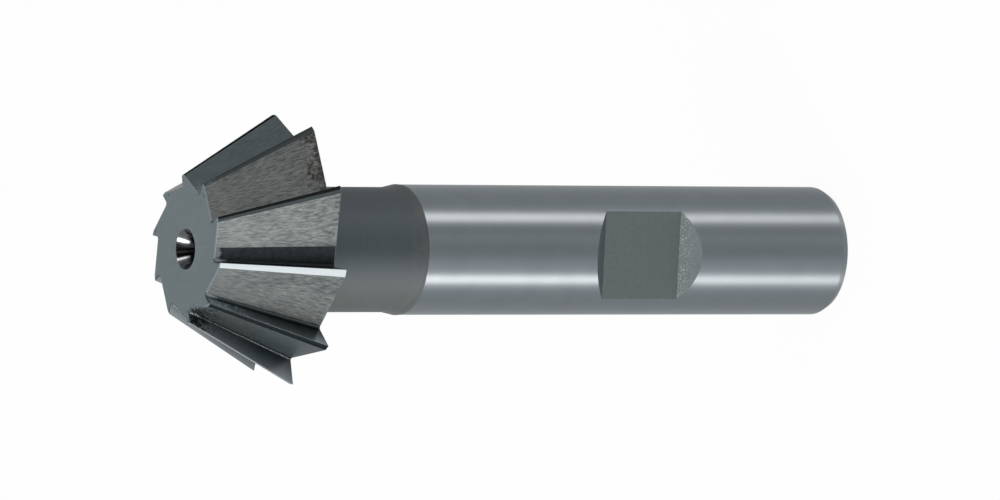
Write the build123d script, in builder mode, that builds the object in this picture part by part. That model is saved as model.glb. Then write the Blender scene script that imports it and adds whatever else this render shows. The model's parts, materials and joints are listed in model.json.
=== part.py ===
"""Angle milling cutter with a cylindrical shank and an inverse 60 degree head.

The tool is one bar of high-speed steel. It stands on its shank end, with +Z along
the axis to the head, and the clamping flat on the shank looks along -Y. The blank is
turned, then the teeth are cut into the cone of the head, one flute at a time, and
the clamping flat is ground into the shank.

Lengths are in millimetres and angles in degrees.
"""

from build123d import *
from math import cos, radians, sin, tan
import os

# Overall sizes
overall_length = 67.0
shank_diameter = 12.0
shank_length = 45.3
neck_diameter = 11.5
head_diameter = 25.0
head_width = 10.0
cone_angle = 60.0

# Turned details
end_chamfer_length = 0.7
end_chamfer_angle = 30.0
shoulder_diameter = 12.07
shoulder_length = 1.3
neck_fillet = 0.8

# Teeth. The faces lie beside the axis, which gives the edges a small positive rake.
tooth_count = 10
first_tooth_angle = 18.1
face_offset = 0.55
primary_relief_angle = 11.5
secondary_relief_angle = 19.5
back_angle = 41.2
rear_land_width = 0.36
front_land_width = 0.24
gullet_radius = 0.25

# Clamping flat on the shank
flat_height = 10.4
flat_length = 8.0
flat_centre = 21.65
flat_ramp_angle = 45.0

# Centre holes
centre_mouth_diameter = 3.75
centre_pilot_diameter = 2.0
centre_cone_angle = 60.0
centre_pilot_length = 1.6
drill_point_angle = 118.0

# How far each cutting body runs past the surface that it cuts
overrun = 1.0

# Sizes that follow from the ones above
shank_radius = shank_diameter / 2
neck_radius = neck_diameter / 2
shoulder_radius = shoulder_diameter / 2
head_rear = overall_length - head_width
tooth_pitch = 360.0 / tooth_count


def cutting_radius(height):
    """Radius of the ten cutting edges at a height above the shank end."""
    return head_diameter / 2 - (height - head_rear) / tan(radians(cone_angle))


def land_width(height):
    """Width of each of the two lands behind a cutting edge, less towards the front."""
    share = (height - head_rear) / head_width
    return rear_land_width + share * (front_land_width - rear_land_width)


def falling(angle):
    """Direction in which a surface falls away behind the cutting edge."""
    return Vector(-sin(radians(angle)), -cos(radians(angle)))


def flute_section(height):
    """Section of the space between two teeth, on a plane across the axis.

    The section is drawn with the face of one tooth along X, below the axis by the
    face offset. It starts at the tip of this tooth and follows its two lands and its
    back down to the gullet, which lies on the face of the next tooth. All of these
    lines keep their direction at every height, so each one makes a true plane.
    """
    radius = cutting_radius(height)
    land = land_width(height)
    tip = Vector((radius**2 - face_offset**2) ** 0.5, -face_offset)
    past_tip = tip - falling(primary_relief_angle) * overrun
    land_edge = tip + falling(primary_relief_angle) * land
    heel = land_edge + falling(secondary_relief_angle) * land
    back_distance = heel.X * cos(radians(back_angle)) - heel.Y * sin(radians(back_angle))
    turn = tooth_pitch - back_angle
    along_face = (back_distance + face_offset * sin(radians(turn))) / cos(radians(turn))
    gullet = Vector(along_face, -face_offset).rotate(Axis.Z, -tooth_pitch)
    outside = Vector(radius / cos(radians(tooth_pitch / 2)) + 2 * overrun, -face_offset)
    outside_face = outside.rotate(Axis.Z, -tooth_pitch)
    with BuildSketch(Plane.XY.offset(height)) as section:
        with BuildLine():
            Polyline(
                gullet, heel, land_edge, past_tip, outside, outside_face, close=True
            )
        make_face()
        corner = section.vertices().sort_by_distance((gullet.X, gullet.Y, height))[0]
        fillet(corner, gullet_radius)
    return section.sketch


# One flute, cut from behind the head to beyond its front face
with BuildPart() as flute:
    add(flute_section(head_rear - overrun))
    add(flute_section(overall_length + overrun))
    loft(ruled=True)

# One centre hole, with its mouth on the XY plane and its pilot below
cone_slope = tan(radians(centre_cone_angle / 2))
mouth_radius = centre_mouth_diameter / 2
pilot_radius = centre_pilot_diameter / 2
cone_depth = (mouth_radius - pilot_radius) / cone_slope
pilot_depth = cone_depth + centre_pilot_length
point_depth = pilot_depth + pilot_radius / tan(radians(drill_point_angle / 2))
with BuildPart() as centre_hole:
    with BuildSketch(Plane.XZ):
        with BuildLine():
            Polyline(
                (0, overrun),
                (mouth_radius + overrun * cone_slope, overrun),
                (pilot_radius, -cone_depth),
                (pilot_radius, -pilot_depth),
                (0, -point_depth),
                close=True,
            )
        make_face()
    revolve(axis=Axis.Z)

with BuildPart() as angle_cutter:
    # Turned blank, from the centre of the shank end up to the front face
    chamfer_depth = end_chamfer_length * tan(radians(end_chamfer_angle))
    with BuildSketch(Plane.XZ) as blank_profile:
        with BuildLine():
            Polyline(
                (0, 0),
                (shank_radius - chamfer_depth, 0),
                (shank_radius, end_chamfer_length),
                (shank_radius, shank_length),
                (shoulder_radius, shank_length),
                (neck_radius, shank_length + shoulder_length),
                (neck_radius, head_rear),
                (cutting_radius(head_rear), head_rear),
                (cutting_radius(overall_length), overall_length),
                (0, overall_length),
                close=True,
            )
        make_face()
        neck_root = blank_profile.vertices().sort_by_distance((neck_radius, 0, head_rear))[0]
        fillet(neck_root, neck_fillet)
    revolve(axis=Axis.Z)

    # Ten flutes, which leave ten straight teeth
    with PolarLocations(0, tooth_count, start_angle=first_tooth_angle):
        add(flute.part, mode=Mode.SUBTRACT)

    # Clamping flat, with a ramp at each end, as the section across the flat's side
    flat_floor = flat_height - shank_radius
    ramp_height = shank_radius - flat_floor + overrun
    ramp_reach = ramp_height / tan(radians(flat_ramp_angle))
    floor_end = flat_length / 2
    with BuildSketch(Plane.YZ):
        with BuildLine():
            Polyline(
                (-flat_floor, flat_centre - floor_end),
                (-flat_floor, flat_centre + floor_end),
                (-flat_floor - ramp_height, flat_centre + floor_end + ramp_reach),
                (-flat_floor - ramp_height, flat_centre - floor_end - ramp_reach),
                close=True,
            )
        make_face()
    extrude(amount=shank_radius + overrun, both=True, mode=Mode.SUBTRACT)

    # Centre holes, in the front face and, turned over, in the shank end
    with Locations((0, 0, overall_length), Location((0, 0, 0), (180, 0, 0))):
        add(centre_hole.part, mode=Mode.SUBTRACT)

angle_cutter.part.label = "angle_cutter"

os.makedirs("parts", exist_ok=True)
export_step(angle_cutter.part, "parts/angle_cutter.step")
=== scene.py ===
# %% [markdown]
# # Angle milling cutter
# This lesson dresses one small cutting tool: a bar of tool steel with a ground shank,
# a turned neck and a cone of ten sharp teeth. The tool's solid comes from the frame, and
# it says where everything is. What it lacks is what a machinist sees first: worn-in
# edges, the lines that each grinding wheel left, and the dull brown patches where steel
# has oxidised. So the lesson builds the tool's skin again with softened edges, gives each
# machined face a finish of its own, and lights it as a tool is lit for a catalogue.

# %% Open the frame
import json
from math import acos, cos, degrees, pi, radians, sin, sqrt, tan

import bmesh
import bpy
from mathutils import Matrix, Vector


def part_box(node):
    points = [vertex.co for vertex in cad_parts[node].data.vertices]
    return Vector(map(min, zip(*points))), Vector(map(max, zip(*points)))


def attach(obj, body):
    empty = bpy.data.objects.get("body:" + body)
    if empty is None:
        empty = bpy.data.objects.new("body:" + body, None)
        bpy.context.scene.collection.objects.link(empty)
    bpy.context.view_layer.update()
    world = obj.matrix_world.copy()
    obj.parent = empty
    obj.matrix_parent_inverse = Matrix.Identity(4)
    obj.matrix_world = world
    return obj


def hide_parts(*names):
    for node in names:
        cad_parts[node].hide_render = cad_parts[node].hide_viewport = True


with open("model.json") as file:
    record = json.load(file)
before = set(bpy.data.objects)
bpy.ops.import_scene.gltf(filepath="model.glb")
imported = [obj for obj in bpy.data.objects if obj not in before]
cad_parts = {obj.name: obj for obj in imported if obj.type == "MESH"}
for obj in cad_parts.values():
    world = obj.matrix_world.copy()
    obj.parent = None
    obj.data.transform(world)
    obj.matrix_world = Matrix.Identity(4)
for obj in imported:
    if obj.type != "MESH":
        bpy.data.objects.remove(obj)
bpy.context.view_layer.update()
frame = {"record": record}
MM = 0.001

# %% [markdown]
# ## Sizes
# Every length is in millimetres, as on a workshop drawing, and is turned into metres only
# when a vertex is made. The sizes that other parts depend on are in the record that comes
# with the frame: the length, the shank and the clamping flat. They are read from there, so
# the skin can't drift away from the solid. The rest repeats the tool's own few sizes.

# %% Sizes of the tool
mounts = {mount["name"]: mount for mount in frame["record"]["mounts"]}
low_corner, high_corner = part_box("angle_cutter")
overall_length = (high_corner.z - low_corner.z) / MM
shank_radius = mounts["shank"]["dims"]["r_mm"]
flat_centre = mounts["clamping_flat"]["pos_m"][2] / MM
flat_distance = -mounts["clamping_flat"]["pos_m"][1] / MM

shank_length = 45.3
neck_radius = 5.75
neck_fillet = 0.8
shoulder_radius = 6.035
shoulder_length = 1.3
end_chamfer_length = 0.7
end_chamfer_angle = 30.0
flat_length = 8.0

head_radius = 12.5
head_width = 10.0
cone_angle = 60.0
head_rear = overall_length - head_width

tooth_count = 10
tooth_pitch = 360.0 / tooth_count
first_tooth_angle = 18.1
face_offset = 0.55
primary_relief_angle = 11.5
secondary_relief_angle = 19.5
back_angle = 41.2
rear_land_width = 0.36
front_land_width = 0.24

centre_mouth_radius = 1.875
centre_pilot_radius = 1.0
centre_pilot_length = 1.6
centre_cone_angle = 60.0
drill_point_angle = 118.0
print(f"tool {overall_length:.1f} mm long, shank radius {shank_radius:.1f} mm")

# %% [markdown]
# ## Camera
# The photo was taken with a long lens from above the front of the tool, and it shows the
# tool lying along the picture. Here the tool stands on its shank, so the camera looks down
# at it and is rolled a quarter turn, which gives the same picture. Its directions are
# worked out from three angles, and its lens is as wide as the tool's sides converge.

# %% Camera
look_down = radians(29.259)
turn_past_flat = radians(6.0)
camera_roll = radians(0.144)
camera_distance = 886.0
aim = Vector((0.0, 0.0, 33.5))
aim_off_middle = (0.663, 0.009)
lens_length = 344.66

toward_camera = Vector((
    cos(look_down) * sin(turn_past_flat),
    -cos(look_down) * cos(turn_past_flat),
    sin(look_down),
))
picture_up = Vector((cos(turn_past_flat), sin(turn_past_flat), 0.0))
picture_right = picture_up.cross(toward_camera)
roll = Matrix.Rotation(camera_roll, 3, toward_camera)
camera_right = roll @ picture_right
camera_up = roll @ picture_up

camera_data = bpy.data.cameras.new("catalogue_camera")
camera_data.sensor_width = 36.0
camera_data.lens = lens_length
camera_data.clip_end = 20.0
camera = bpy.data.objects.new("catalogue_camera", camera_data)
place = aim + toward_camera * camera_distance
place -= camera_right * aim_off_middle[0] + camera_up * aim_off_middle[1]
turned = Matrix((camera_right, camera_up, toward_camera)).transposed().to_4x4()
camera.matrix_world = Matrix.Translation(place * MM) @ turned
bpy.context.scene.collection.objects.link(camera)
bpy.context.scene.camera = camera
bpy.context.scene.view_settings.view_transform = "Standard"
print(f"camera {place.length:.0f} mm away, lens {lens_length:.0f} mm")

# %% [markdown]
# ## Lines and corners
# A section through the teeth is made of straight lines that meet in corners, and each
# corner of real steel is a little round. It could be drawn sharp and rounded by a Bevel
# modifier, but the corners here need very different radii, from a tip that cuts to a
# gullet that must not crack. So a line is written as a pair: the angle of its outward
# normal and its distance from the axis. Two such lines meet in one short formula, and
# moving a line in or out only changes its distance, which rounding needs anyway.

# %% Lines and corners
def meet(line_a, line_b):
    """Point where two lines cross, each given as (angle of its normal, distance)."""
    angle_a, distance_a = radians(line_a[0]), line_a[1]
    angle_b, distance_b = radians(line_b[0]), line_b[1]
    width = sin(angle_b - angle_a)
    x = (distance_a * sin(angle_b) - distance_b * sin(angle_a)) / width
    y = (distance_b * cos(angle_a) - distance_a * cos(angle_b)) / width
    return x, y


def round_corner(line_a, line_b, radius, steps, hollow=False):
    """Points of the arc that rounds the corner between two lines of a section."""
    side = -1 if hollow else 1
    shifted_a = (line_a[0], line_a[1] - side * radius)
    shifted_b = (line_b[0], line_b[1] - side * radius)
    centre_x, centre_y = meet(shifted_a, shifted_b)
    points = []
    for step in range(steps + 1):
        angle = radians(line_a[0] + (line_b[0] - line_a[0]) * step / steps)
        points.append((centre_x + side * radius * cos(angle), centre_y + side * radius * sin(angle)))
    return points


def turn(point, angle):
    """A point of a section, turned about the axis."""
    c, s = cos(radians(angle)), sin(radians(angle))
    return point[0] * c - point[1] * s, point[0] * s + point[1] * c


# %% [markdown]
# ## The tooth form
# Each tooth has four ground faces. The rake looks forward and does the cutting; it lies a
# little beside the axis, so that the edge leans into the cut. Behind the cutting edge run
# two narrow lands, each tilted further back than the one before, so that they never rub.
# Behind them the back drops away to the gullet at the foot of the next rake. All four
# keep their direction from the rear of the head to its front, while the cone makes them
# smaller, so one function of the height gives every section. Its inset draws the same
# form a little smaller, which is what softens the front and rear edges of the head.
#
# The ten teeth have one form, but they don't all look alike. Some backs are smooth, and
# their darker tone, with that of their lands, is painted shade. On others a dark strip at the
# foot of the back is a painted shadow, where the next tooth shades it. One tooth in three or so
# has lands painted bright as a reflection. The photo shows five teeth of the ten, and the
# others repeat these kinds.

# %% Tooth form
tip_round = 0.015
land_round = 0.03
heel_round = 0.03
gullet_round = 0.25
corner_steps, gullet_steps = 2, 6
# Teeth with a painted shadow at the foot of the back
shadowed_foot_teeth = (2, 5, 8)
# Teeth whose smooth backs and lands are painted dark as shade, and teeth whose lands are painted bright
# as a reflection
smooth_shaded_teeth = (0, 4, 7)
painted_bright_land_teeth = (3, 6, 9)
# Width of that painted foot shadow at the rear and at the front of the head
rear_foot_width, front_foot_width = 1.65, 1.0


def cutting_radius(height):
    """Radius of the cutting edges at a height, which a finish may give as a signal."""
    return head_radius - (height - head_rear) / tan(radians(cone_angle))


def land_width(height):
    """Width of each of the two lands at a height."""
    share = (height - head_rear) / head_width
    return rear_land_width + share * (front_land_width - rear_land_width)


def fall_line(point, angle, inset):
    """Line through a point whose surface falls away at an angle behind the edge."""
    c, s = cos(radians(angle)), sin(radians(angle))
    return -angle, point[0] * c - point[1] * s - inset


def step_back(point, angle, length):
    """The point at a distance behind another one, along a surface that falls away."""
    return point[0] - length * sin(radians(angle)), point[1] - length * cos(radians(angle))


def foot_shadow_width(height):
    """Width of the painted shadow strip at the foot of a back, where the next tooth shades it."""
    share = (height - head_rear) / head_width
    return rear_foot_width + share * (front_foot_width - rear_foot_width)


def tooth_section(height, inset, number):
    """Points and face names of one pitch of the teeth, from a tip to the next rake."""
    land, back_name = "dull_land", "back"
    # Smooth teeth get lands painted dark as shade, and some others lands painted bright as a highlight
    if number in smooth_shaded_teeth:
        land, back_name = "dark_land", "smooth_back"
    elif number in painted_bright_land_teeth:
        land = "bright_land"
    tip = (sqrt(cutting_radius(height) ** 2 - face_offset**2), -face_offset)
    land_edge = step_back(tip, primary_relief_angle, land_width(height))
    heel = step_back(land_edge, secondary_relief_angle, land_width(height))
    rake = (90.0, -face_offset - inset)
    primary = fall_line(tip, primary_relief_angle, inset)
    secondary = fall_line(land_edge, secondary_relief_angle, inset)
    back = fall_line(heel, back_angle, inset)
    next_rake = (90.0 - tooth_pitch, -face_offset - inset)
    points, names = [], []
    corners = (
        (rake, primary, tip_round, corner_steps, False, "tip", land),
        (primary, secondary, land_round, corner_steps, False, land, land),
        (secondary, back, heel_round, corner_steps, False, land, back_name),
        (back, next_rake, gullet_round + inset, gullet_steps, True, "gullet", "rake"),
    )
    for line_a, line_b, round_radius, steps, hollow, arc_name, wall_name in corners:
        arc = round_corner(line_a, line_b, round_radius, steps, hollow)
        # On the shadowed teeth the strip before the gullet is painted shadow
        if number in shadowed_foot_teeth and arc_name == "gullet":
            points.append(step_back(arc[0], back_angle, -foot_shadow_width(height)))
            names.append("back_foot")
        points += arc
        names += [arc_name] * steps + [wall_name]
    return points, names


def head_section(height, inset):
    """Points and face names of the whole toothed section, tooth after tooth."""
    points, names = [], []
    for number in range(tooth_count):
        one_tooth, one_names = tooth_section(height, inset, number)
        angle = first_tooth_angle - number * tooth_pitch
        points += [(*turn(point, angle), height) for point in one_tooth]
        names += one_names
    return points, names


print("points in a section of the head:", len(head_section(head_rear, 0.0)[0]))

# %% [markdown]
# ## The skin
# The whole bar is one closed mesh, built ring by ring from the front to the shank end, as
# a lathe hand would walk down the tool. A small class keeps the mesh and the list of
# finishes: it makes rings of vertices and bands of faces between them, and each band is
# told which finish it has. One mesh is right here, because the real tool is one bar.

# %% Rings and bands
class Skin:
    """A mesh made of rings of vertices, with a finish on each band between two rings."""

    def __init__(self):
        self.mesh = bmesh.new()
        self.finishes = []

    def number(self, finish):
        """Slot number of a finish, which is added when it is new."""
        if finish not in self.finishes:
            self.finishes.append(finish)
        return self.finishes.index(finish)

    def ring(self, points):
        """Vertices at points in millimetres."""
        return [self.mesh.verts.new(Vector(point) * MM) for point in points]

    def face(self, corners, finish):
        """One face, unless its corners fall together."""
        distinct = list(dict.fromkeys(corners))
        if len(distinct) > 2:
            self.mesh.faces.new(distinct).material_index = self.number(finish)

    def band(self, ring_a, ring_b, finish):
        """Faces between two closed rings, all of one finish or with a name for each."""
        for i in range(len(ring_a)):
            j = (i + 1) % len(ring_a)
            name = finish if isinstance(finish, str) else finish[i]
            self.face((ring_a[i], ring_a[j], ring_b[j], ring_b[i]), name)

    def cap(self, ring, tip, finish):
        """A fan from a closed ring to one point."""
        point = self.mesh.verts.new(Vector(tip) * MM)
        for i in range(len(ring)):
            self.face((ring[i], ring[(i + 1) % len(ring)], point), finish)

    def fill(self, outer, inner, finish):
        """A flat face between an outer outline and an inner one."""
        edges = []
        for ring in (outer, inner):
            for i in range(len(ring)):
                pair = (ring[i], ring[(i + 1) % len(ring)])
                edges.append(self.mesh.edges.get(pair) or self.mesh.edges.new(pair))
        made = bmesh.ops.triangle_fill(self.mesh, edges=edges, use_beauty=True)
        for item in made["geom"]:
            if isinstance(item, bmesh.types.BMFace):
                item.material_index = self.number(finish)


skin = Skin()

# %% [markdown]
# ## The toothed head
# The head is a stack of sections. Near its front and rear faces the sections draw in along
# a quarter circle, which rounds their edges. In front of the backs and lands these edges carry
# a painted highlight, as the photo shows, and elsewhere, like all round the rear, painted shade.
# Between them one straight wall runs the full width, because each ground face is a true plane.

# %% Toothed head
front_edge_round = 0.1
rear_edge_round = 0.04
edge_steps = 3


def edge_sections(face_height, size, inward):
    """Heights and insets of the rings that round an edge, from the face to the wall."""
    for step in range(edge_steps + 1):
        angle = radians(90.0 * step / edge_steps)
        yield face_height + inward * size * (1 - cos(angle)), size * (1 - sin(angle))


front_rings = []
for height, inset in edge_sections(overall_length, front_edge_round, -1):
    points, wall_names = head_section(height, inset)
    front_rings.append(skin.ring(points))
rear_rings = []
for height, inset in edge_sections(head_rear, rear_edge_round, 1):
    rear_rings.append(skin.ring(head_section(height, inset)[0]))

# Front edges get a painted highlight beside backs and lands, and painted shade elsewhere
shaded_walls = ("rake", "gullet", "tip")
edge_names = ["painted_shaded_edge" if name in shaded_walls else "painted_lit_edge" for name in wall_names]
for ring_a, ring_b in zip(front_rings, front_rings[1:]):
    skin.band(ring_a, ring_b, edge_names)
skin.band(front_rings[-1], rear_rings[-1], wall_names)
# The rear edges are painted shade all round
for ring_a, ring_b in zip(rear_rings, rear_rings[1:]):
    skin.band(ring_a, ring_b, "painted_shaded_edge")
print("faces on the head:", len(skin.mesh.faces))

# %% [markdown]
# ## Turned shapes
# The neck, the shank and the centre holes are turned, so each is a profile carried round
# the axis. The profile's corners are rounded with a helper that works on a list of points
# with a radius for each. The columns of the shank are spaced so that two of them run
# exactly along the edges of the clamping flat, which keeps those edges crisp.

# %% Profiles
column_angle = 2.7
profile_steps = 3
flat_half_angle = degrees(acos(flat_distance / shank_radius))
flat_columns = 2 * round(flat_half_angle / column_angle)
free_span = 360 - 2 * flat_half_angle
free_columns = round(free_span / column_angle)

columns = [-flat_half_angle + 2 * flat_half_angle * i / flat_columns for i in range(flat_columns)]
columns += [flat_half_angle + free_span * i / free_columns for i in range(free_columns)]


def soften(points, radii, steps=profile_steps):
    """A profile of (radius, height) points, with each inner corner rounded."""
    softened = [points[0]]
    for before, corner, after, radius in zip(points, points[1:], points[2:], radii):
        way_in = (Vector(corner) - Vector(before)).normalized()
        way_out = (Vector(after) - Vector(corner)).normalized()
        bend = acos(max(-1.0, min(1.0, way_in.dot(way_out))))
        reach = radius * tan(bend / 2)
        start = Vector(corner) - way_in * reach
        for step in range(steps + 1):
            turned_by = bend * step / steps
            along = radius * (sin(turned_by) * way_in)
            square = (way_out - way_in * cos(bend)).normalized()
            softened.append(tuple(start + along + radius * (1 - cos(turned_by)) * square))
    softened.append(points[-1])
    return softened


def column_point(radius, height, angle):
    """A point at an angle from the middle of the clamping flat, which looks along -Y."""
    return radius * sin(radians(angle)), -radius * cos(radians(angle)), height


def turned_ring(radius, height):
    """A ring of the turned surface."""
    return skin.ring([column_point(radius, height, angle) for angle in columns])


def turned_bands(profile, finish, last):
    """Bands that follow a profile, from the ring that lies at its first point."""
    for radius, height in profile[1:]:
        ring = turned_ring(radius, height)
        skin.band(last, ring, finish)
        last = ring
    return last


print(f"{len(columns)} columns, {flat_columns} of them across the flat")

# %% [markdown]
# ## Neck and shank
# The neck leaves the rear face of the head in a fillet and runs, a little thinner than the
# shank, to a short taper. The taper ends in a lip where the grinding wheel of the shank
# stopped. The shank itself is one long ground cylinder, so it needs no rings of its own
# apart from those round the flat.

# %% Neck and shoulder
neck_start = shank_length + shoulder_length
face_margin = 0.6
fillet_steps = 8
lip_step, lip_length = 0.02, 0.3
lip_rounds = [0.03, 0.01]

neck_profile = soften(
    [
        (neck_radius + neck_fillet + face_margin, head_rear),
        (neck_radius, head_rear),
        (neck_radius, neck_start),
    ],
    [neck_fillet],
    steps=fillet_steps,
)
rear_face_ring = turned_ring(*neck_profile[1])
skin.fill(rear_rings[0], rear_face_ring, "head_rear")
neck_end = turned_bands(neck_profile[1:], "neck", rear_face_ring)

shoulder_profile = soften(
    [
        (neck_radius, neck_start),
        (shoulder_radius, shank_length),
        (shank_radius, shank_length - lip_step),
        (shank_radius, shank_length - lip_length),
    ],
    lip_rounds,
)
shoulder_end = turned_bands(shoulder_profile, "shoulder", neck_end)
print(f"neck {head_rear - neck_start:.1f} mm long, in {len(neck_profile) - 1} rings")

# %% [markdown]
# ## The clamping flat
# A side screw of the tool holder presses on this flat. It was milled across the shank with
# a ramp at each end. It could be cut with a Boolean modifier, but a Boolean leaves long
# thin triangles on the cylinder, and they show as creases in its mirror-like streaks. So
# the rings beside the flat bend instead: inside the flat's width they follow the curve
# where the ramp leaves the cylinder, and then the straight end of the floor.

# %% Shank with its clamping flat
floor_top = flat_centre + flat_length / 2
floor_bottom = flat_centre - flat_length / 2
ring_margin = 0.4
hardly_any = 1e-6


def rises(angle):
    """Height of the shank's surface over the floor of the flat, at an angle."""
    return max(0.0, shank_radius * cos(radians(angle)) - flat_distance)


def rim_ring(floor_end, outward):
    """Ring along the curve where a ramp of the flat meets the cylinder."""
    return skin.ring([
        column_point(shank_radius, floor_end + outward * rises(angle), angle) for angle in columns
    ])


def floor_ring(rim, floor_end):
    """Ring along the end of the floor, which shares the rim's vertices off the flat."""
    ring = []
    for vertex, angle in zip(rim, columns):
        if rises(angle) > hardly_any:
            radius = flat_distance / cos(radians(angle))
            ring += skin.ring([column_point(radius, floor_end, angle)])
        else:
            ring.append(vertex)
    return ring


ramp_apex = rises(0.0)
upper_rim = rim_ring(floor_top, 1)
upper_floor = floor_ring(upper_rim, floor_top)
lower_rim = rim_ring(floor_bottom, -1)
lower_floor = floor_ring(lower_rim, floor_bottom)

floor_names = ["flat_floor" if i < flat_columns else "shank" for i in range(len(columns))]
shank_top = turned_ring(shank_radius, floor_top + ramp_apex + ring_margin)
low_ring_height = floor_bottom - ramp_apex - ring_margin
shank_low = turned_ring(shank_radius, low_ring_height)
skin.band(shoulder_end, shank_top, "shank")
skin.band(shank_top, upper_rim, "shank")
skin.band(upper_rim, upper_floor, "upper_ramp")
skin.band(upper_floor, lower_floor, floor_names)
skin.band(lower_floor, lower_rim, "lower_ramp")
skin.band(lower_rim, shank_low, "shank")
print(f"flat {flat_length:.1f} mm long, ramps {ramp_apex:.2f} mm high")

# %% [markdown]
# ## The shank end and the centre holes
# The shank ends in a chamfer, so that it slips into its holder, and in a flat ground face.
# Both ends of the bar hold a 60 degree centre hole, in which the tool turned while it was
# ground. Only the front one shows in the photo, and the other is its twin.

# %% Centre holes
cone_depth = (centre_mouth_radius - centre_pilot_radius) / tan(radians(centre_cone_angle / 2))
pilot_depth = cone_depth + centre_pilot_length
point_depth = pilot_depth + centre_pilot_radius / tan(radians(drill_point_angle / 2))
mouth_margin = 0.2
mouth_round, pilot_round = 0.06, 0.05
hole_profile = soften(
    [
        (centre_mouth_radius + mouth_margin, 0.0),
        (centre_mouth_radius, 0.0),
        (centre_pilot_radius, cone_depth),
        (centre_pilot_radius, pilot_depth),
    ],
    [mouth_round, pilot_round],
)


def centre_hole(face_height, inward):
    """A centre hole below a face; returns the ring round its mouth."""
    profile = [(radius, face_height + inward * depth) for radius, depth in hole_profile[1:]]
    mouth = turned_ring(*profile[0])
    bottom = turned_bands(profile, "centre_hole", mouth)
    skin.cap(bottom, (0, 0, face_height + inward * point_depth), "centre_hole")
    return mouth


front_mouth = centre_hole(overall_length, -1)
skin.fill(front_rings[0], front_mouth, "front_face")
print(f"centre holes {point_depth:.2f} mm deep, of that {cone_depth:.2f} mm cone")

# %% Shank end
chamfer_depth = end_chamfer_length * tan(radians(end_chamfer_angle))
chamfer_rounds = [0.6, 0.1]
end_profile = soften(
    [
        (shank_radius, low_ring_height),
        (shank_radius, end_chamfer_length),
        (shank_radius - chamfer_depth, 0.0),
        (centre_mouth_radius + mouth_margin, 0.0),
    ],
    chamfer_rounds,
)
# The profile is one point, an arc at each corner of the chamfer, and one last point
chamfer_foot = 1 + (profile_steps + 1)
chamfer_end = turned_bands(end_profile[:chamfer_foot + 1], "shank", shank_low)
face_rim = turned_bands(end_profile[chamfer_foot:-1], "shank_end", chamfer_end)
rear_mouth = centre_hole(0.0, 1)
skin.band(face_rim, rear_mouth, "shank_end")
print(f"chamfer {end_chamfer_length:.1f} mm long, {chamfer_depth:.2f} mm deep")

# %% [markdown]
# ## Closing the skin
# The bands are joined, the normals are turned outwards, and the result is measured: a
# closed mesh has two faces on every edge, and its volume should be that of the solid. A
# Weighted Normal modifier then lets the big ground planes shade dead flat and leaves the
# curve to the narrow rounded edges.

# %% Close and measure the skin
weld_distance = 0.0005
crease = radians(25.0)
bmesh.ops.remove_doubles(skin.mesh, verts=skin.mesh.verts, dist=weld_distance * MM)
bmesh.ops.recalc_face_normals(skin.mesh, faces=skin.mesh.faces)
open_edges = 0
for edge in skin.mesh.edges:
    if len(edge.link_faces) != 2:
        open_edges += 1
    else:
        edge.smooth = edge.calc_face_angle() < crease
for face in skin.mesh.faces:
    face.smooth = True
volume = skin.mesh.calc_volume() / MM**3

tool_mesh = bpy.data.meshes.new("ground_cutter")
skin.mesh.to_mesh(tool_mesh)
skin.mesh.free()
tool = bpy.data.objects.new("ground_cutter", tool_mesh)
bpy.context.scene.collection.objects.link(tool)
weighted = tool.modifiers.new("flat_planes", "WEIGHTED_NORMAL")
weighted.keep_sharp = True
weighted.weight = 100
print(f"{len(tool_mesh.polygons)} faces, {open_edges} open edges, {volume:.0f} cubic mm")

# %% [markdown]
# ## Shader maths in plain Python
# A finish is a small calculation: where the scratches are, how dark the oxide is. Node by
# node it becomes unreadable, so a socket is wrapped in a class with Python's operators,
# and a formula adds its own Math nodes. A second class holds one material and makes any
# other node in a single call.

# %% Signals and finishes
class Signal:
    """A value that runs through a material's nodes."""

    def __init__(self, finish, socket):
        self.finish = finish
        self.socket = socket

    def maths(self, operation, *values, clamp=False):
        """The result of a Math node that this value goes into first."""
        settings = {"operation": operation, "use_clamp": clamp}
        sockets = {index: value for index, value in enumerate((self, *values))}
        return self.finish.node("ShaderNodeMath", settings, sockets)

    def __add__(self, other):
        return self.maths("ADD", other)

    __radd__ = __add__

    def __mul__(self, other):
        return self.maths("MULTIPLY", other)

    __rmul__ = __mul__

    def __sub__(self, other):
        return self.maths("SUBTRACT", other)

    def __rsub__(self, other):
        return self.finish.node("ShaderNodeMath", {"operation": "SUBTRACT"}, {0: other, 1: self})

    def __truediv__(self, other):
        return self.maths("DIVIDE", other)

    def __pow__(self, other):
        return self.maths("POWER", other)

    def between(self, low, high):
        """0 below low, 1 above high, and an even rise from one to the other."""
        return ((self - low) / (high - low)).maths("MULTIPLY", 1.0, clamp=True)


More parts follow.
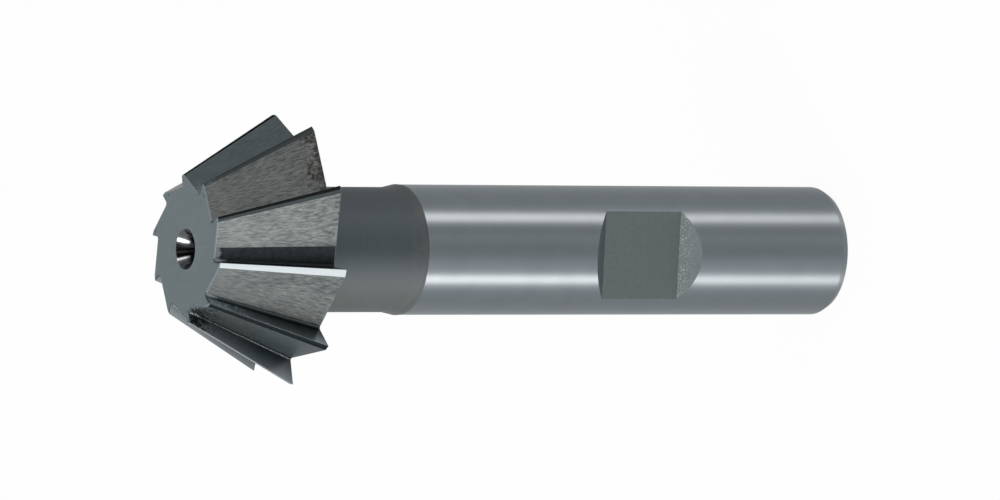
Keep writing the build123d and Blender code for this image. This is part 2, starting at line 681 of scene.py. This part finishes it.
class Finish:
    """A procedural material, or the world, under construction."""

    def __init__(self, name, world=None):
        self.material = world or bpy.data.materials.new(name)
        self.material.use_nodes = True
        self.tree = self.material.node_tree
        self.tree.nodes.clear()

    def node(self, kind, settings=None, sockets=None, output=0):
        """Add a node: first its settings, then the values and links of its sockets."""
        node = self.tree.nodes.new(kind)
        for name, value in (settings or {}).items():
            if name == "stops":
                ramp = node.color_ramp
                while len(ramp.elements) < len(value):
                    ramp.elements.new(0.5)
                for element, (position, colour) in zip(ramp.elements, value):
                    element.position = position
                    element.color = (*colour, 1.0)
            else:
                setattr(node, name, value)
        for name, value in (sockets or {}).items():
            if isinstance(value, Signal):
                self.tree.links.new(value.socket, node.inputs[name])
            else:
                node.inputs[name].default_value = value
        return Signal(self, node.outputs[output]) if len(node.outputs) else None

    def mix(self, share, colour_a, colour_b):
        """A colour between two colours."""
        settings = {"data_type": "RGBA", "clamp_factor": True}
        sockets = {0: share}
        for index, colour in ((6, colour_a), (7, colour_b)):
            sockets[index] = colour if isinstance(colour, Signal) else (*colour, 1.0)
        return self.node("ShaderNodeMix", settings, sockets, output=2)

    def place(self):
        """Place on the tool in millimetres."""
        metres = self.node("ShaderNodeTexCoord", output="Object")
        return self.node("ShaderNodeVectorMath", {"operation": "SCALE"}, {0: metres, "Scale": 1 / MM})

    def axes(self):
        """The x, y and z of the place on the tool."""
        parts = self.node("ShaderNodeSeparateXYZ", sockets={0: self.place()})
        return [Signal(self, output) for output in parts.socket.node.outputs]

    def height(self):
        """Height over the shank end in millimetres."""
        return self.axes()[2]

    def radius(self):
        """Distance from the tool's axis in millimetres."""
        x, y = self.axes()[:2]
        return (x * x + y * y).maths("SQRT")

    def vector(self, x, y, z):
        """A vector from three values."""
        return self.node("ShaderNodeCombineXYZ", sockets={0: x, 1: y, 2: z})

    def noise(self, where, scale=1.0, detail=2.0, roughness=0.5):
        """Smooth random values round 0.5."""
        sockets = {"Vector": where, "Scale": scale, "Detail": detail, "Roughness": roughness}
        return self.node("ShaderNodeTexNoise", {"noise_dimensions": "3D"}, sockets)

    def bump(self, pattern, depth, strength):
        """A normal tilted by a pattern, whose relief has a depth in millimetres."""
        sockets = {"Height": pattern, "Distance": depth * MM, "Strength": strength}
        return self.node("ShaderNodeBump", sockets=sockets)

    def steel(self, colour, roughness, normal=None, anisotropic=0.0, rotation=0.0, glance=1.0):
        """Finish with a metal surface, whose glancing reflections can be held back."""
        sockets = {
            "Base Color": colour,
            "Metallic": 1.0,
            "Roughness": roughness,
            "Specular Tint": (glance, glance, glance, 1.0),
            "Anisotropic": anisotropic,
            "Anisotropic Rotation": rotation,
        }
        if normal is not None:
            sockets["Normal"] = normal
        surface = self.node("ShaderNodeBsdfPrincipled", sockets=sockets)
        self.node("ShaderNodeOutputMaterial", sockets={"Surface": surface})
        return self.material


# %% [markdown]
# ## The ground shank
# A shank is ground between centres, so its scratches run round it, too fine to see one by
# one. Together they spread each reflection along the axis, and that is why the photo shows
# two clean streaks of light from the shoulder to the end. Anisotropic reflection does
# this, and a fine noise that changes quickly along the axis adds the faint banding.

# %% Shank finish
def around(finish, along, across):
    """A place for noise that is stretched round the axis."""
    x, y, z = finish.axes()
    return finish.vector(x * across, y * across, z * along)


def shank_finish():
    finish = Finish("ground_shank")
    lines = finish.noise(around(finish, 9.0, 0.35), detail=3.0)
    clouds = finish.noise(around(finish, 0.5, 0.25), detail=2.0)
    blotches = finish.noise(finish.place(), scale=0.5, detail=4.0)
    shade = (lines - 0.5) * 0.25 + (clouds - 0.5) * 0.3 + (blotches - 0.5) * 0.4 + 0.5
    colour = finish.mix(shade, (0.150, 0.174, 0.190), (0.212, 0.242, 0.258))
    roughness = 0.42 + (lines - 0.5) * 0.1
    return finish.steel(colour, roughness, anisotropic=0.92, rotation=0.25)


# %% [markdown]
# ## Oxide and scuffs
# The steel has oxidised in a few spots, where fingers or damp packing touched it: along the
# rear edge of one tooth and at the front of one gullet. The back of another tooth has a brown
# stain, which is partly painted shade. One front corner is scuffed pale, and a pale patch at
# the front of one rake is a painted reflection. Such a patch breaks up into specks towards its
# rim. It is a distance from a point, roughened by a noise, so each finish that it crosses can
# ask for the same patch. A patch along an edge is squeezed, so that it lies close to the edge.

# %% Oxide and scuffs
oxide_black = (0.012, 0.013, 0.013)
oxide_brown = (0.030, 0.027, 0.022)
# Brown of a stain on one back, which also stands in for shade there
stain_and_shade_brown = (0.030, 0.032, 0.028)
scuffed_steel = (0.20, 0.24, 0.26)
# Pale steel of a painted reflection on one rake
painted_reflection_steel = (0.52, 0.58, 0.62)

gullet_spot = (-5.7, -2.4, 66.4)
scuffed_corner = (6.2, -2.3, 66.6)
# Middle of that painted reflection at the front of one rake
painted_reflection_spot = (-3.5, -4.8, 66.6)
oxidised_corner = (11.3, -4.9, 57.4)
oxidised_side = (7.8, -7.1, 57.0)
oxidised_edge = (8.8, -6.5, 57.0)
# Middle of a brown stain on a smooth back that is partly painted shade
stain_and_shade_spot = (-5.6, -3.6, 64.0)

patch_contrast, patch_loss, patch_rim = 5.0, 1.6, 0.6


def patch(finish, middle, reach, squeeze=1.0):
    """A speckled patch round a point in millimetres, 1 in its middle and 0 outside."""
    where = finish.place()
    subtract, multiply = {"operation": "SUBTRACT"}, {"operation": "MULTIPLY"}
    length = {"operation": "LENGTH"}
    offset = finish.node("ShaderNodeVectorMath", subtract, {0: where, 1: middle})
    squeezed = finish.node("ShaderNodeVectorMath", multiply, {0: offset, 1: (1.0, 1.0, squeeze)})
    distance = finish.node("ShaderNodeVectorMath", length, {0: squeezed}, output="Value")
    speckle = finish.noise(where, scale=3.0, detail=5.0, roughness=0.7)
    return (speckle * patch_contrast - patch_loss - distance / reach).between(0.0, patch_rim)


def gullet_oxide(finish, reach=2.2):
    """The dark spot at the front of one gullet, which every finish round it shares."""
    return patch(finish, gullet_spot, reach) * 0.9


def spotted(finish, ground):
    """A ground colour with the dark spot, and with a pale scuff at the front of one tooth."""
    scuffed = finish.mix(patch(finish, scuffed_corner, 1.5) * 0.6, ground, scuffed_steel)
    return finish.mix(gullet_oxide(finish), scuffed, oxide_black)


# %% [markdown]
# ## Neck, shoulder and turned faces
# The neck was only turned, so it is duller than the shank, with soft tool marks round it.
# One side of it is painted dark as shade and the other painted light, and the shoulder beside
# it carries the same painted sides and a faint brown stain. The faces at the ends of the bar
# and of the head were faced on the lathe, which leaves rings about the centre, and their rims
# have a few dark pits.

# %% Neck, shoulder and turned faces
pit_black = (0.02, 0.022, 0.024)


def turned_colour(finish):
    """Lines and blue-grey of turned steel, with painted shade on one side and painted light on the
    other.
    """
    x = finish.axes()[0]
    lines = finish.noise(around(finish, 6.0, 0.3), detail=3.0)
    stain_and_painted_shade = finish.mix(lines, (0.058, 0.072, 0.081), (0.081, 0.099, 0.110))
    painted_lit_side = finish.mix(lines, (0.114, 0.131, 0.131), (0.150, 0.170, 0.171))
    # Painted shade on the side towards +x and painted light on the other
    share = (x * -1.0).between(-0.5, 4.5) + x.between(4.2, 5.6) * 0.25
    return lines, finish.mix(share, stain_and_painted_shade, painted_lit_side)


def neck_finish():
    finish = Finish("turned_neck")
    lines, colour = turned_colour(finish)
    roughness = 0.72 + (lines - 0.5) * 0.1
    return finish.steel(colour, roughness, anisotropic=0.3, rotation=0.25)


def shoulder_finish():
    finish = Finish("stained_shoulder")
    turned_steel = turned_colour(finish)[1]
    stain = finish.noise(around(finish, 1.2, 0.7), detail=4.0).between(0.45, 0.7)
    colour = finish.mix(stain * 0.5, turned_steel, (0.118, 0.105, 0.100))
    return finish.steel(colour, 0.72, anisotropic=0.3, rotation=0.25)


def faced_finish(name, dark, light):
    finish = Finish(name)
    where, radius = finish.place(), finish.radius()
    x, y = finish.axes()[:2]
    rings = finish.noise(finish.vector(radius * 6.0, x * 0.1, y * 0.1), detail=3.0)
    clouds = finish.noise(where, scale=0.25)
    faced = finish.mix(rings * 0.6 + clouds * 0.4, dark, light)
    pits = finish.noise(where, scale=2.2, detail=1.0).between(0.66, 0.72) * radius.between(4.8, 6.2)
    dark_spots = (pits * 0.8).maths("MAXIMUM", gullet_oxide(finish, 1.1))
    colour = finish.mix(dark_spots, faced, pit_black)
    relief = finish.bump(rings, 0.01, 0.25)
    return finish.steel(colour, 0.45, normal=relief)


# %% [markdown]
# ## Backs of the teeth
# A wheel travelled along each tooth, so its lines run from front to rear. On the backs they
# are coarse enough to see as short dashes with a few bright flecks, and they are drawn as a
# noise that is stretched along the tooth. A back is painted lighter towards the front of the
# head as painted light. The smooth backs have the same marks, far fainter, and a darker tone
# that is painted shade. The painted shadow at the foot of some backs ends just behind the
# front face.

# %% Backs of the teeth
back_dark, back_light = (0.072, 0.083, 0.085), (0.225, 0.242, 0.238)


def along_tooth(finish, across, along):
    """A place for noise that is stretched along the teeth."""
    x, y, z = finish.axes()
    radius = finish.radius()
    return finish.vector(x / radius * across, y / radius * across, z * along)


def back_colour(finish, dark, light):
    """Dashes of the wheel on a back, and its colour with them, bright flecks, clouds and painted light
    towards the front.
    """
    dashes = finish.noise(along_tooth(finish, 75.0, 1.5), detail=3.0, roughness=0.6)
    flecks = finish.noise(along_tooth(finish, 90.0, 2.5), detail=2.0).between(0.62, 0.75)
    clouds = finish.noise(finish.place(), scale=0.4)
    # Painted light: the back gets lighter towards the front of the head
    painted_light_toward_front = (finish.height() - head_rear) / head_width
    shade = (dashes - 0.5) * 2.2 + (clouds - 0.5) * 0.5 + painted_light_toward_front * 0.2 + 0.32
    return dashes, finish.mix(shade + flecks * 0.5, dark, light)


def back_finish():
    finish = Finish("tooth_back")
    dashes, ground = back_colour(finish, back_dark, back_light)
    corner_oxide = patch(finish, oxidised_corner, 1.6)
    side_oxide = patch(finish, oxidised_side, 1.8)
    edge_oxide = patch(finish, oxidised_edge, 6.0, squeeze=8.0)
    oxide = corner_oxide.maths("MAXIMUM", side_oxide).maths("MAXIMUM", edge_oxide)
    colour = finish.mix(oxide * 0.85, spotted(finish, ground), oxide_brown)
    relief = finish.bump(dashes, 0.02, 0.5)
    return finish.steel(colour, 0.46, normal=relief, anisotropic=0.55)


def smooth_shaded_back_finish():
    finish = Finish("smooth_back")
    # The smooth backs have fainter marks, and their darker tone is painted shade
    ground = back_colour(finish, (0.052, 0.069, 0.077), (0.096, 0.119, 0.130))[1]
    # A brown stain round a spot on the back, which also carries painted shade
    stain_and_painted_shade = finish.mix(patch(finish, stain_and_shade_spot, 6.0) * 0.6, ground, stain_and_shade_brown)
    roughness = 0.46 + gullet_oxide(finish) * 0.3
    return finish.steel(spotted(finish, stain_and_painted_shade), roughness, anisotropic=0.55)


def foot_shadow_finish():
    finish = Finish("foot_shadow_paint")
    # Painted shadow at the foot of a back, mottled, which gives way to the ground back at the front
    marks = finish.noise(finish.place(), scale=2.0, detail=4.0)
    dark = finish.mix(marks.between(0.2, 0.9), (0.014, 0.018, 0.020), (0.036, 0.044, 0.047))
    ground = back_colour(finish, back_dark, back_light)[1]
    front = (finish.height() + (marks - 0.5) * 1.5).between(66.35, 66.85)
    return finish.steel(finish.mix(front, dark, ground), 0.5)


# %% [markdown]
# ## Lands, rakes and gullets
# The lands and the rakes were ground last with a fine wheel and reflect like a dull mirror,
# which makes one land shine white and its neighbour look black; the lands' tones add to this
# a painted highlight on some teeth and painted shade on others. A rake's colour is painted
# lighter along its cutting edge and towards the front and darker down to the gullet, as
# painted light and shade. A gullet is painted dark as shade in its hollow, and its front end,
# where that painted shade stops, stays pale.
#
# Bare steel turns white at a glancing angle. The dark lands keep their tone there in the
# photo, so their glancing reflections are held back.

# %% Lands, rakes and gullets
def fine_lines(finish):
    """The fine lines that the last wheel left along a tooth."""
    return finish.noise(along_tooth(finish, 90.0, 0.8), detail=3.0)


def fine_ground_finish(name, dark, light, roughness, glance=1.0):
    finish = Finish(name)
    lines = fine_lines(finish)
    colour = spotted(finish, finish.mix(lines, dark, light))
    relief = finish.bump(lines, 0.004, 0.1)
    return finish.steel(colour, roughness, normal=relief, anisotropic=0.65, glance=glance)


def gullet_finish():
    finish = Finish("gullet")
    lines = fine_lines(finish)
    # Painted shade: the gullet is dark in its hollow, and pale at its front end where that painted shade
    # stops
    dark = finish.mix(lines, (0.016, 0.022, 0.025), (0.040, 0.046, 0.048))
    unshaded_front = (finish.height() + (lines - 0.5) * 1.5).between(65.9, 66.6)
    colour = spotted(finish, finish.mix(unshaded_front, dark, (0.15, 0.175, 0.185)))
    return finish.steel(colour, 0.2 + unshaded_front * 0.25, anisotropic=0.65)


def rake_finish():
    finish = Finish("tooth_rake")
    height = finish.height()
    # Painted light and shade: lighter up towards the cutting edge and the front, darker down to the
    # gullet
    painted_light_up_the_tooth = (finish.radius() / cutting_radius(height)).between(0.82, 1.0)
    painted_light_near_front = (height - head_rear).between(3.5, head_width)
    lines = fine_lines(finish)
    shade = painted_light_up_the_tooth ** 1.5 * 0.7 + painted_light_near_front * 0.55 + (lines - 0.5) * 0.15
    ground = finish.mix(shade, (0.026, 0.033, 0.038), (0.232, 0.262, 0.278))
    # A pale patch at the front of one rake is a painted reflection
    with_painted_reflection = finish.mix(patch(finish, painted_reflection_spot, 3.0) * 0.8, ground, painted_reflection_steel)
    return finish.steel(spotted(finish, with_painted_reflection), 0.24, anisotropic=0.65)


# %% [markdown]
# ## The flat and the holes
# The clamping flat was milled, and its floor is a dull even grey. The ramp towards the head
# is smooth, and the cutter left the other one scored, with bright chips beside the floor.
# The centre hole was drilled. Its cone is grey, with two painted bright reflections and a
# painted dark band between them, and the pilot is painted dark as shade far down in the hole.

# %% Flat and holes
# Each painted band of the centre hole, light for a reflection and dark for shade: the angle of its
# middle, half its width and its tone
painted_hole_bands = ((97.0, 26.0, 0.025), (67.5, 7.0, 0.9), (127.0, 5.5, 0.9))


def milled_floor_finish():
    finish = Finish("milled_floor")
    grain = finish.noise(finish.place(), scale=3.0, detail=4.0)
    colour = finish.mix(grain, (0.085, 0.104, 0.105), (0.118, 0.138, 0.139))
    relief = finish.bump(grain, 0.01, 0.3)
    return finish.steel(colour, 0.55, normal=relief)


def upper_ramp_finish():
    finish = Finish("smooth_ramp")
    grain = finish.noise(finish.place(), scale=2.0, detail=3.0)
    colour = finish.mix(grain, (0.115, 0.140, 0.160), (0.150, 0.178, 0.200))
    return finish.steel(colour, 0.5)


def lower_ramp_finish():
    finish = Finish("scored_ramp")
    x, y, z = finish.axes()
    scores = finish.noise(finish.vector(x * 7.0, y * 3.0, z * 2.0), detail=5.0, roughness=0.7)
    clouds = finish.noise(finish.place(), scale=1.2)
    ground = finish.mix(scores * 1.2 + clouds * 0.6 - 0.4, (0.13, 0.155, 0.160), (0.20, 0.23, 0.235))
    beside_floor = (z - (floor_bottom - ramp_apex)).between(0.2, 1.4)
    chips = finish.noise(finish.place(), scale=7.0, detail=3.0).between(0.55, 0.7) * beside_floor
    colour = finish.mix(chips, ground, (0.42, 0.45, 0.45))
    relief = finish.bump(scores, 0.04, 0.6)
    return finish.steel(colour, 0.5, normal=relief)


def hole_finish():
    finish = Finish("drilled_hole")
    x, y, z = finish.axes()
    angle = y.maths("ARCTAN2", x) * (180 / pi)
    lines = finish.noise(around(finish, 10.0, 0.6), detail=3.0)
    cone = finish.mix(lines, (0.09, 0.095, 0.10), (0.19, 0.195, 0.20))
    # Painted reflections and a painted dark band round the cone
    for middle, half_width, tone in painted_hole_bands:
        off_middle = (angle - middle).maths("ABSOLUTE")
        painted_band = off_middle.between(half_width, half_width * 0.6)
        cone = finish.mix(painted_band, cone, (tone, tone * 1.02, tone * 1.05))
    # Painted shade far down in the pilot
    deep = (overall_length - z).between(0.65, 1.1)
    colour = finish.mix(deep, cone, (0.012, 0.012, 0.015))
    return finish.steel(colour, 0.16)


# %% [markdown]
# ## Putting the finishes on
# Each band of the skin asked for its finish by name, and here every name gets its material,
# in the order in which the bands first asked. Lands, tips and edges differ only in tone and
# in how dull they are, so one function makes them all; the bright and the dark tones of lands
# and edges are painted highlight and painted shade. At the end the frame is told that this
# skin rides on the tool's one body and stands for the solid.

# %% Putting the finishes on
finishes = {
    "shank": shank_finish(),
    "neck": neck_finish(),
    "shoulder": shoulder_finish(),
    "front_face": faced_finish("faced_front", (0.120, 0.155, 0.163), (0.158, 0.195, 0.204)),
    "head_rear": faced_finish("faced_rear", (0.115, 0.135, 0.140), (0.155, 0.180, 0.185)),
    "shank_end": faced_finish("ground_end", (0.135, 0.155, 0.165), (0.180, 0.205, 0.215)),
    "back": back_finish(),
    "smooth_back": smooth_shaded_back_finish(),
    "back_foot": foot_shadow_finish(),
    "tip": fine_ground_finish("cutting_tip", (0.15, 0.18, 0.20), (0.21, 0.24, 0.26), 0.18),
    "bright_land": fine_ground_finish("bright_land", (0.245, 0.258, 0.262), (0.295, 0.309, 0.313), 0.16),
    "dull_land": fine_ground_finish("dull_land", (0.070, 0.083, 0.089), (0.106, 0.121, 0.127), 0.2),
    "dark_land": fine_ground_finish("dark_land", (0.02, 0.025, 0.028), (0.04, 0.05, 0.055), 0.2, 0.3),
    "rake": rake_finish(),
    "gullet": gullet_finish(),
    "painted_lit_edge": fine_ground_finish("painted_lit_edge", (0.21, 0.25, 0.275), (0.28, 0.32, 0.345), 0.55),
    "painted_shaded_edge": fine_ground_finish("painted_shaded_edge", (0.085, 0.105, 0.112), (0.125, 0.145, 0.152), 0.55),
    "flat_floor": milled_floor_finish(),
    "upper_ramp": upper_ramp_finish(),
    "lower_ramp": lower_ramp_finish(),
    "centre_hole": hole_finish(),
}
for name in skin.finishes:
    tool_mesh.materials.append(finishes[name])
print("finishes:", ", ".join(skin.finishes))

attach(tool, "root")
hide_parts("angle_cutter")

# %% [markdown]
# ## Floor and light
# The tool stands on a plain pale floor. The photo's two streaks on the shank say where its
# lamps were: two small soft lamps at the height of the tool, 55 degrees to one side of the
# camera and 50 to the other. A larger soft box above the second one lights the lands that
# look that way. The room is pale behind the tool and overhead, and dark in two places
# beside the first lamp and behind the camera, where a land that faces them looks black.

# %% Floor
floor_half_width = 3.0
floor_mesh = bpy.data.meshes.new("floor")
floor_shape = bmesh.new()
bmesh.ops.create_grid(floor_shape, x_segments=1, y_segments=1, size=floor_half_width)
floor_shape.to_mesh(floor_mesh)
floor_shape.free()
floor = bpy.data.objects.new("floor", floor_mesh)
bpy.context.scene.collection.objects.link(floor)


def pale_floor_finish():
    finish = Finish("pale_floor")
    path = finish.node("ShaderNodeLightPath")
    outputs = path.socket.node.outputs
    seen = Signal(finish, outputs["Is Camera Ray"])
    mirrored = Signal(finish, outputs["Is Glossy Ray"])
    passed = Signal(finish, outputs["Is Transmission Ray"])
    shown = seen.maths("MAXIMUM", mirrored).maths("MAXIMUM", passed)
    paper = finish.node("ShaderNodeBsdfDiffuse", sockets={"Color": (0.85, 0.85, 0.85, 1.0)})
    glow = finish.node("ShaderNodeEmission", sockets={"Color": (1, 1, 1, 1), "Strength": 1.0})
    both = finish.node("ShaderNodeMixShader", sockets={0: shown * 0.95, 1: paper, 2: glow})
    finish.node("ShaderNodeOutputMaterial", sockets={"Surface": both})
    return finish.material


floor_mesh.materials.append(pale_floor_finish())
print(f"floor {2 * floor_half_width:.0f} m wide")

# %% Lamps
camera_side = Vector((sin(turn_past_flat), -cos(turn_past_flat), 0.0))


def lamp(name, angle, height_angle, width, height, strength, distance, colour):
    """A flat soft lamp round the tool, sized by the angles that it fills, facing its middle."""
    level = camera_side * cos(radians(angle)) + picture_up * sin(radians(angle))
    away = level * cos(radians(height_angle)) + Vector((0, 0, sin(radians(height_angle))))
    data = bpy.data.lights.new(name, "AREA")
    data.shape = "RECTANGLE"
    data.size = 2 * distance * tan(radians(width / 2))
    data.size_y = 2 * distance * tan(radians(height / 2))
    data.energy = strength * pi * data.size * data.size_y
    data.color = colour
    box = bpy.data.objects.new(name, data)
    across = Vector((0, 0, 1)).cross(away).normalized()
    turned_box = Matrix((across, away.cross(across), away)).transposed().to_4x4()
    box.matrix_world = Matrix.Translation(aim * MM + away * distance) @ turned_box
    box.visible_camera = False
    bpy.context.scene.collection.objects.link(box)
    print(f"{name}: {data.size:.3f} x {data.size_y:.3f} m, {data.energy:.2f} W")


warm_white, cool_white = (1.0, 0.89, 0.84), (0.94, 0.98, 1.0)
lamp("upper_strip", 55.0, -1.4, 14.0, 9.0, 41.0, 0.3, warm_white)
lamp("lower_strip", -50.0, -1.4, 13.0, 9.0, 56.0, 0.3, warm_white)
lamp("soft_box", -44.0, 26.0, 50.0, 30.0, 1.9, 0.5, cool_white)

# %% World
# How light the room is at each angle round the tool, from the camera's side of it
room_levels = [
    (-180, 1.0), (-160, 1.0), (-145, 0.7), (-92, 0.7), (-84, 1.0), (-36, 1.0), (-30, 0.8),
    (-16, 0.8), (-8, 0.15), (12, 0.15), (16, 1.2), (24, 1.2), (28, 0.02), (52, 0.02), (58, 0.8),
    (85, 0.6), (94, 0.32), (150, 0.32), (165, 1.0), (180, 1.0),
]
ceiling = (1.0, 1.0, 1.0)


def studio_room():
    room = Finish("studio", bpy.data.worlds.new("studio"))
    look = room.node("ShaderNodeTexCoord", output="Generated")
    dot = {"operation": "DOT_PRODUCT"}
    toward, across, upward = [
        room.node("ShaderNodeVectorMath", dot, {0: look, 1: direction}, output="Value")
        for direction in (camera_side, picture_up, (0.0, 0.0, 1.0))
    ]
    share = across.maths("ARCTAN2", toward) / (2 * pi) + 0.5
    stops = [((angle + 180) / 360, (level, level, level)) for angle, level in room_levels]
    walls = room.node("ShaderNodeValToRGB", {"stops": stops}, {0: share})
    level = room.mix(upward.between(0.65, 0.85), walls, ceiling)
    light = room.node("ShaderNodeBackground", sockets={"Color": level, "Strength": 1.0})
    room.node("ShaderNodeOutputWorld", sockets={"Surface": light})
    return room.material


bpy.context.scene.world = studio_room()
print(f"room of {len(room_levels)} levels, from {min(level for _, level in room_levels)} up")
